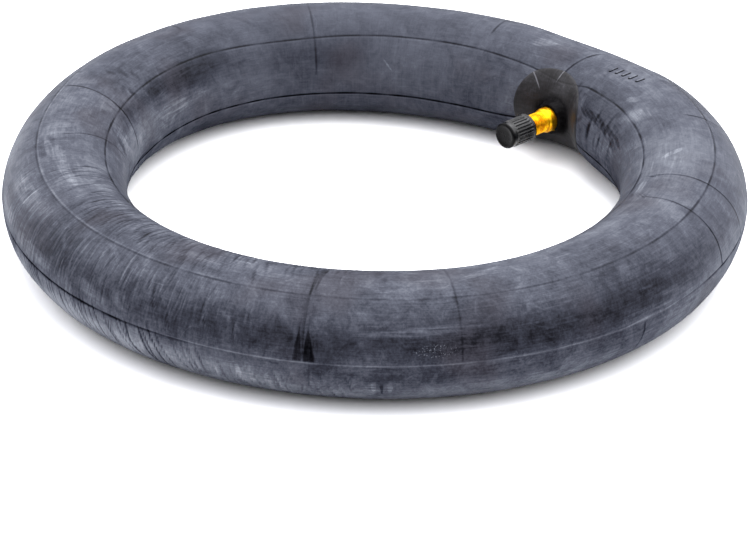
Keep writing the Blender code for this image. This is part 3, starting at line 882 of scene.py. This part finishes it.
class Shade:
    """Builds the nodes of one material, or of the world."""

    def __init__(self, name, users=bpy.data.materials, shader="Principled BSDF", **uniform):
        """A new material, with uniform values on the shader's own sockets."""
        self.material = users.new(name)
        self.material.use_nodes = True
        self.tree = self.material.node_tree
        self.shader = self.tree.nodes[shader]
        for socket, value in uniform.items():
            self.shader.inputs[socket.replace("_", " ")].default_value = value

    def feed(self, socket, value):
        """Link a socket to another one, or set its value."""
        if isinstance(value, bpy.types.NodeSocket):
            self.tree.links.new(value, socket)
        elif isinstance(value, tuple) and socket.type == "RGBA":
            socket.default_value = (*value, 1.0)
        else:
            socket.default_value = value

    def node(self, kind, inputs, **settings):
        """A new node with these inputs and settings."""
        made = self.tree.nodes.new(kind)
        for key, value in settings.items():
            setattr(made, key, value)
        for key, value in inputs.items():
            self.feed(made.inputs[key], value)
        return made

    def math(self, operation, first, second=0.5):
        """One step of arithmetic."""
        return self.node("ShaderNodeMath", {0: first, 1: second}, operation=operation).outputs[0]

    def add(self, *values):
        """The sum of the values."""
        total = values[0]
        for value in values[1:]:
            total = self.math("ADD", total, value)
        return total

    def times(self, *values):
        """The product of the values."""
        total = values[0]
        for value in values[1:]:
            total = self.math("MULTIPLY", total, value)
        return total

    def centred(self, value, amount):
        """A value between 0 and 1, moved to lie about 0 and made this strong."""
        return self.times(self.add(value, -0.5), amount)

    def length(self, vector):
        """The vector's length."""
        return self.node("ShaderNodeVectorMath", {0: vector}, operation="LENGTH").outputs["Value"]

    def number(self, name):
        """A number that was stored on the mesh."""
        return self.node("ShaderNodeAttribute", {}, attribute_name=name).outputs["Fac"]

    def skin(self):
        """The place on the map of the skin, in millimetres."""
        return self.node("ShaderNodeAttribute", {}, attribute_name="skin").outputs["Vector"]

    def place(self):
        """Position on the object, in millimetres."""
        where = self.node("ShaderNodeTexCoord", {}).outputs["Object"]
        return self.moved(where, scale=(1 / MM, 1 / MM, 1 / MM))

    def noise(self, where, size, detail=3.0, roughness=0.55, shift=0.0, distortion=0.0):
        """Noise with grains of this size in millimetres, or of one size for each direction."""
        sizes = size if isinstance(size, tuple) else (size, size, size)
        scale = tuple(1 / value for value in sizes)
        where = self.moved(where, shift=(shift, shift * 0.7, -shift), scale=scale)
        inputs = {"Vector": where, "Scale": 1.0, "Detail": detail, "Roughness": roughness}
        inputs["Distortion"] = distortion
        return self.node("ShaderNodeTexNoise", inputs).outputs["Fac"]

    def moved(self, vector, turn=0.0, tilt=0.0, shift=(0.0, 0.0, 0.0), scale=(1.0, 1.0, 1.0)):
        """The vector scaled, then turned about Z and tilted about X, then shifted."""
        rotation = (math.radians(tilt), 0.0, math.radians(turn))
        inputs = {"Vector": vector, "Scale": scale, "Rotation": rotation, "Location": shift}
        return self.node("ShaderNodeMapping", inputs).outputs[0]

    def from_place(self, skin, turn, around):
        """The map of the skin seen from one place: X outward, Y round the ring, Z round the section."""
        return self.moved(skin, turn=-turn, shift=(-RING_RADIUS, 0.0, -math.radians(around) * SKIN_RADIUS))

    def strongest(self, values):
        """The highest of the values."""
        total = values[0]
        for value in values[1:]:
            total = self.math("MAXIMUM", total, value)
        return total

    def marks(self, skin, marks, soft=0.5, wobble=0.0):
        """1 on oval marks on the skin, 0 elsewhere. wobble makes their edges uneven."""
        found = []
        for turn, around, length, width, angle in marks:
            local = self.moved(self.from_place(skin, turn, around), tilt=-angle)
            local = self.moved(local, scale=(0.05, 2 / length, 2 / width))
            away = self.length(local)
            found.append(self.ramp(self.add(away, wobble), 1.0 + soft / 2, 1.0 - soft / 2))
        return self.strongest(found)

    def tongues(self, skin, tongues):
        """1 on upright marks with straight sides, 0 elsewhere."""
        found = []
        for turn, around, height, foot_width, top_width, lean in tongues:
            local = self.from_place(skin, turn, around)
            parts = self.node("ShaderNodeSeparateXYZ", {"Vector": local}).outputs
            risen = self.times(parts["Z"], 1 / height)
            sideways = self.math("ABSOLUTE", self.add(parts["Y"], self.times(parts["Z"], lean)))
            width = self.ramp(risen, 0.0, 1.0, foot_width, top_width)
            inside = self.ramp(self.add(sideways, self.times(width, -1.0)), 0.25, -0.25)
            ends = self.times(self.ramp(risen, -0.03, 0.03), self.ramp(risen, 1.1, 0.6))
            facing = self.ramp(parts["X"], -30.0, -20.0)
            found.append(self.times(inside, ends, facing))
        return self.strongest(found)

    def ramp(self, value, low, high, out_low=0.0, out_high=1.0):
        """out_low where the value is low, out_high where it is high, smooth in between."""
        inputs = {"Value": value, "From Min": low, "From Max": high, "To Min": out_low, "To Max": out_high}
        return self.node("ShaderNodeMapRange", inputs, interpolation_type="SMOOTHSTEP").outputs[0]

    def mix(self, share, first, second):
        """A colour between two others. The numbers are the node's own sockets for colours."""
        return self.node("ShaderNodeMix", {0: share, 6: first, 7: second}, data_type="RGBA").outputs[2]

    def colours(self, value, stops):
        """A colour for each value, from (value, colour) stops."""
        made = self.node("ShaderNodeValToRGB", {"Fac": value})
        ramp = made.color_ramp
        ramp.interpolation = "LINEAR"
        while len(ramp.elements) < len(stops):
            ramp.elements.new(1.0)
        for element, (position, colour) in zip(ramp.elements, stops):
            element.position = position
            element.color = (*colour, 1.0)
        return made.outputs["Color"]

    def bump(self, layers):
        """Bumps from (height, depth in millimetres, strength) layers."""
        normal = None
        for height, depth, strength in layers:
            inputs = {"Height": height, "Distance": depth * MM, "Strength": strength}
            made = self.node("ShaderNodeBump", inputs)
            if normal:
                self.tree.links.new(normal, made.inputs["Normal"])
            normal = made.outputs["Normal"]
        self.tree.links.new(normal, self.shader.inputs["Normal"])

    def set(self, **sockets):
        """Feed the shader's sockets and give the material."""
        for socket, value in sockets.items():
            self.feed(self.shader.inputs[socket.replace("_", " ")], value)
        return self.material


def butyl_rubber():
    """Black butyl under a bluish bloom that was rubbed and brushed about, with mould lines."""
    s = Shade("butyl_rubber", Specular_Tint=(0.80, 0.86, 1.0, 1.0))
    skin, place = s.skin(), s.place()
    clouds = s.noise(place, 26.0, 3.0, 0.5, 3.1, 0.6)
    mottle = s.noise(place, 7.0, 5.0, 0.70, 8.7, 0.8)
    across = s.noise(skin, (1.4, 1.4, 15.0), 3.0, 0.62, 1.9, 0.25)
    fine_across = s.noise(skin, (0.55, 0.55, 7.0), 2.0, 0.5, 5.2)
    along_ring = s.noise(skin, (13.0, 13.0, 1.0), 3.0, 0.62, 7.3, 0.3)
    fine_along = s.noise(skin, (7.0, 7.0, 0.5), 2.0, 0.5, 15.2)
    grain = s.noise(place, 0.9, 3.0, 0.7, 2.2)
    brushed = s.number("brushed")
    where_across = s.times(s.ramp(s.noise(place, 20.0, 2.0, 0.5, 12.0), 0.40, 0.60), brushed)
    not_brushed = s.add(1.0, s.times(brushed, -0.75))
    where_along = s.times(s.ramp(s.noise(place, 24.0, 2.0, 0.5, 17.0), 0.40, 0.60), not_brushed)

    rubbed = s.noise(place, 11.0, 4.0, 0.55, 41.0, 1.6)
    rubbed = s.add(s.ramp(rubbed, 0.50, 0.56), s.ramp(rubbed, 0.44, 0.38, 0.0, -1.0))
    hair = s.math("ABSOLUTE", s.add(s.noise(place, 17.0, 1.0, 0.5, 77.0, 0.4), -0.5))
    hair = s.times(s.ramp(hair, 0.010, 0.003), s.ramp(s.noise(place, 8.0, 2.0, 0.5, 61.0), 0.54, 0.62))
    brush_across = s.times(s.ramp(across, 0.40, 0.62), brushed)
    brush = s.add(brush_across, s.times(s.ramp(along_ring, 0.40, 0.62), not_brushed))
    pale_marks = s.marks(skin, PALE_MARKS, 0.5, s.centred(mottle, 2.4))
    pale_marks = s.times(pale_marks, s.add(0.35, s.times(brush, 0.9)))
    dark_marks = s.times(s.marks(skin, DARK_MARKS, 1.0, s.centred(mottle, 1.6)), 0.65)
    dark_marks = s.math("MAXIMUM", dark_marks, s.times(s.tongues(skin, DARK_TONGUES), 0.88))
    uneven = s.add(fine_across, s.times(mottle, 0.5))
    dark_marks = s.times(dark_marks, s.ramp(uneven, 0.55, 0.85, 0.6, 1.05))
    specks = s.ramp(s.noise(place, 0.42, 1.0, 0.5, 19.0), 0.62, 0.70)
    specks = s.times(s.marks(skin, SPECKLED_MARKS), specks)
    lively = s.number("lively")

    texture = s.add(
        s.centred(mottle, 0.74),
        s.times(s.centred(grain, 0.55), lively),
        s.times(rubbed, 0.06),
        s.times(s.centred(across, 0.40), where_across),
        s.times(s.centred(fine_across, 0.40), brushed),
        s.times(s.centred(along_ring, 0.50), where_along),
        s.times(s.centred(fine_along, 0.32), not_brushed),
        s.times(s.ramp(across, 0.58, 0.70), where_across, 0.08),
        s.times(s.ramp(along_ring, 0.60, 0.72), where_along, 0.10),
        s.times(hair, 0.10),
    )
    # The bloom takes painted shade low down from tone, painted highlights from light and painted shade from
    # dark.
    bloom = s.add(0.618, s.number("tone"), s.centred(clouds, 0.25), s.times(texture, lively))
    bloom = s.add(bloom, s.times(s.number("light"), 0.36))
    bloom = s.add(bloom, s.times(pale_marks, 0.19), s.times(s.number("dark"), -0.75))
    bloom = s.add(bloom, s.times(dark_marks, -0.42), s.times(specks, 0.65))
    colour = s.colours(s.times(bloom, 0.8), (
        (0.0, (0.0006, 0.0006, 0.0010)),
        (0.2, (0.0055, 0.0056, 0.0077)),
        (0.4, (0.0193, 0.0208, 0.0283)),
        (0.6, (0.046, 0.049, 0.0620)),
        (0.8, (0.088, 0.0935, 0.110)),
        (1.0, (0.150, 0.158, 0.178)),
    ))
    brown = s.ramp(s.noise(place, 30.0, 2.0, 0.5, 31.0), 0.52, 0.70)
    colour = s.mix(s.times(brown, s.ramp(bloom, 0.2, 0.5), 0.32), colour, (0.0250, 0.0205, 0.0240))
    roughness = s.ramp(bloom, 0.1, 0.9, 0.40, 0.62)
    s.bump(((grain, 0.15, 0.30), (fine_across, 0.15, 0.10), (across, 0.25, 0.12), (mottle, 0.6, 0.30)))
    return s.set(Base_Color=colour, Roughness=roughness, Specular_IOR_Level=s.number("shine"))


def base_rubber():
    """Dark brown-black rubber of the patch under the valve: cleaner than the ring, paler at the top."""
    s = Shade("base_rubber")
    place, skin = s.place(), s.skin()
    clouds = s.noise(place, 8.0, 4.0, 0.6, 4.0, 0.5)
    smears = s.noise(skin, (4.5, 4.5, 1.0), 3.0, 0.6, 6.0, 0.4)
    fine = s.noise(skin, (0.5, 0.5, 5.0), 2.0, 0.5, 13.0)
    grain = s.noise(place, 0.6, 2.0, 0.6, 9.0)
    scratches = s.marks(skin, PATCH_SCRATCHES, 0.9)
    around = s.node("ShaderNodeSeparateXYZ", {"Vector": skin}).outputs["Z"]
    paler = s.ramp(around, math.radians(180) * SKIN_RADIUS, math.radians(135) * SKIN_RADIUS, -0.06, 0.12)
    from_axis = s.length(s.moved(place, shift=(0.0, 0.0, -VALVE_HEIGHT), scale=(1.0, 0.0, 1.0)))
    # Painted shade round the neck, darker towards the stem, which also damps the light on the neck's top.
    neck = s.ramp(from_axis, 8.5, 6.0, 0.0, -0.24)
    value = s.add(
        0.38,
        paler,
        neck,
        s.centred(clouds, 1.0),
        s.centred(smears, 0.5),
        s.centred(fine, 0.35),
        s.centred(grain, 0.3),
        # Painted highlights and painted shade of the moulded lines.
        s.times(s.number("light"), 0.55),
        s.times(s.number("dark"), -0.35),
        s.times(scratches, 0.6),
    )
    colour = s.colours(value, (
        (0.0, (0.0018, 0.0016, 0.0018)),
        (0.4, (0.0115, 0.0108, 0.0118)),
        (0.7, (0.0260, 0.0255, 0.0285)),
        (1.0, (0.085, 0.085, 0.095)),
    ))
    s.bump(((grain, 0.08, 0.3), (smears, 0.15, 0.25)))
    roughness = s.ramp(clouds, 0.3, 0.7, 0.46, 0.60)
    gloss = s.ramp(from_axis, 9.0, 6.4, 0.12, 0.02)
    return s.set(Base_Color=colour, Roughness=roughness, Specular_IOR_Level=gloss)


def brass(name, light, deep, stain):
    """Machined brass: fine turning marks, warmer stains and small dark pits in the thread."""
    s = Shade(name, Metallic=1.0)
    place = s.place()
    turning = s.noise(place, (3.0, 0.10, 3.0), 2.0, 0.5, 2.0)
    cloud = s.noise(place, 2.4, 3.0, 0.6, 5.0, 0.6)
    pits = s.noise(place, 0.8, 3.0, 0.65, 8.0, 0.4)
    colour = s.mix(s.ramp(cloud, 0.42, 0.62), light, deep)
    colour = s.mix(s.times(s.ramp(pits, 0.58, 0.72), s.ramp(cloud, 0.45, 0.62)), colour, stain)
    s.bump(((turning, 0.03, 0.25), (pits, 0.05, 0.2)))
    return s.set(Base_Color=colour, Roughness=s.ramp(cloud, 0.3, 0.7, 0.36, 0.48))


def cap_plastic():
    """Black moulded plastic, satin, with a duller tip."""
    s = Shade("cap_plastic")
    place = s.place()
    cloud = s.noise(place, 3.0, 3.0, 0.55, 3.0)
    grain = s.noise(place, 0.28, 2.0, 0.6, 6.0)
    scuff = s.noise(place, (1.8, 0.35, 1.8), 3.0, 0.6, 12.0, 0.5)
    colour = s.colours(s.add(s.times(cloud, 0.6), s.times(s.ramp(scuff, 0.55, 0.75), 0.2)), (
        (0.0, (0.0006, 0.0006, 0.0006)),
        (0.4, (0.0018, 0.0018, 0.0020)),
        (1.0, (0.010, 0.010, 0.0115)),
    ))
    s.bump(((grain, 0.05, 0.3), (scuff, 0.06, 0.15)))
    parts = s.node("ShaderNodeSeparateXYZ", {"Vector": place}).outputs
    tip = float(VALVE_FOOT[1]) - CAP_TIP
    roughness = s.ramp(cloud, 0.3, 0.7, 0.24, 0.34)
    gloss = s.ramp(parts["Y"], tip + 0.5, tip + 1.2, 0.05, 0.42)
    return s.set(Base_Color=colour, Roughness=roughness, Specular_IOR_Level=gloss)


def clouded(name, dark, pale, size, depth, smooth, rough, **uniform):
    """A plain material with soft clouds of this size, for the small hidden pieces."""
    s = Shade(name, **uniform)
    cloud = s.noise(s.place(), size, 3.0, 0.6, 2.0)
    s.bump(((cloud, depth, 0.3),))
    return s.set(Base_Color=s.mix(cloud, dark, pale), Roughness=s.ramp(cloud, 0.3, 0.7, smooth, rough))


# ---------------- pieces

rubber = butyl_rubber()
base_material = base_rubber()
stem_brass = brass("stem_brass", (0.80, 0.42, 0.008), (0.55, 0.21, 0.004), (0.16, 0.05, 0.004))
core_brass = brass("core_brass", (0.90, 0.66, 0.22), (0.74, 0.48, 0.13), (0.26, 0.15, 0.05))
plastic = cap_plastic()
seal_dark, seal_pale = (0.010, 0.010, 0.011), (0.040, 0.040, 0.043)
seal = clouded("seal_rubber", seal_dark, seal_pale, 1.4, 0.05, 0.55, 0.75, Specular_IOR_Level=0.35)
steel_dark, steel_pale = (0.42, 0.42, 0.41), (0.66, 0.65, 0.63)
steel = clouded("spring_steel", steel_dark, steel_pale, 0.8, 0.02, 0.22, 0.38, Metallic=1.0)

make_tube(rubber)
make_bars(rubber)
make_base(base_material)
make_stem(stem_brass)
make_cap(plastic)
make_core(core_brass)

CAD_MATERIALS = {
    "core_barrel": core_brass,
    "barrel_seal": seal,
    "core_spring": steel,
    "core_pin": core_brass,
    "plunger_cup": core_brass,
    "cup_seal": seal,
    "cap_seal": seal,
}
for node, material in CAD_MATERIALS.items():
    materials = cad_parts[node].data.materials
    materials.clear()
    materials.append(material)


# ---------------- floor, light and camera

FLOOR_HALF = 6.0
ROOM_STRENGTH = 2.9
ROOM_DIM_SHARE = 0.10


def add_floor():
    """A plain pale floor."""
    mesh = bpy.data.meshes.new("floor")
    corners = [(x * FLOOR_HALF, y * FLOOR_HALF, 0) for x, y in ((-1, -1), (1, -1), (1, 1), (-1, 1))]
    mesh.from_pydata(corners, [], [(0, 1, 2, 3)])
    s = Shade("floor_white", Specular_IOR_Level=0.0, Roughness=0.9)
    faint = s.noise(s.place(), 900.0, 2.0, 0.5, 1.0)
    mesh.materials.append(s.set(Base_Color=s.mix(faint, (0.90, 0.90, 0.91), (0.93, 0.93, 0.935))))
    floor = bpy.data.objects.new("floor", mesh)
    bpy.context.scene.collection.objects.link(floor)


def add_area(name, place, target, size, watts):
    """A soft white light at a place, facing the target."""
    lamp = bpy.data.lights.new(name, "AREA")
    lamp.shape = "RECTANGLE"
    lamp.size, lamp.size_y = size
    lamp.energy = watts
    made = bpy.data.objects.new(name, lamp)
    bpy.context.scene.collection.objects.link(made)
    made.location = place
    made.rotation_euler = (Vector(target) - Vector(place)).to_track_quat("-Z", "Y").to_euler()


def add_world():
    """A soft white room: bright from half-way up, dim near the horizon."""
    s = Shade("soft_room", bpy.data.worlds, "Background", Color=(0.955, 0.96, 1.0, 1.0))
    direction = s.node("ShaderNodeTexCoord", {}).outputs["Generated"]
    rise = s.node("ShaderNodeSeparateXYZ", {"Vector": direction}).outputs["Z"]
    dim = ROOM_DIM_SHARE * ROOM_STRENGTH
    bpy.context.scene.world = s.set(Strength=s.ramp(rise, 0.26, 0.62, dim, ROOM_STRENGTH))


CAMERA_AZIMUTH = 45.813
CAMERA_ELEVATION = 26.392
CAMERA_DISTANCE = 1.0826
CAMERA_AIM_RIGHT = 0.00176
CAMERA_AIM_UP = -0.01327
CAMERA_ROLL = 1.0915
CAMERA_LENS = 152.2
CAMERA_SENSOR = 36.0


def add_camera():
    """The camera, far off with a long lens. Its azimuth is measured from -Y towards +X."""
    azimuth, elevation = math.radians(CAMERA_AZIMUTH), math.radians(CAMERA_ELEVATION)
    level = math.cos(elevation)
    towards = Vector((math.sin(azimuth) * level, -math.cos(azimuth) * level, math.sin(elevation)))
    right = Vector((math.cos(azimuth), math.sin(azimuth), 0.0))
    up = right.cross(-towards)
    centre = Vector((CENTRE[0] * MM, CENTRE[1] * MM, 0.0))
    place = centre + CAMERA_DISTANCE * towards
    target = centre + CAMERA_AIM_RIGHT * right + CAMERA_AIM_UP * up
    data = bpy.data.cameras.new("camera")
    data.lens = CAMERA_LENS
    data.sensor_width = CAMERA_SENSOR
    data.clip_start = 0.05
    data.clip_end = 50.0
    camera = bpy.data.objects.new("camera", data)
    bpy.context.scene.collection.objects.link(camera)
    look = (target - place).to_track_quat("-Z", "Y").to_matrix().to_4x4()
    roll = Matrix.Rotation(math.radians(CAMERA_ROLL), 4, "Z")
    camera.matrix_world = Matrix.Translation(place) @ look @ roll
    bpy.context.scene.camera = camera


add_floor()
add_world()
add_area("softbox_top", (0.1, 0.25, 1.5), (0, 0, 0), (1.8, 1.6), 36.0)
add_area("softbox_left", (-1.5, -0.5, 0.9), (0, 0, 0.02), (1.2, 1.0), 12.0)
add_area("softbox_right", (1.3, 0.6, 0.9), (0, 0, 0.02), (1.0, 1.0), 8.0)
add_camera()
bpy.context.scene.view_settings.view_transform = "Standard"
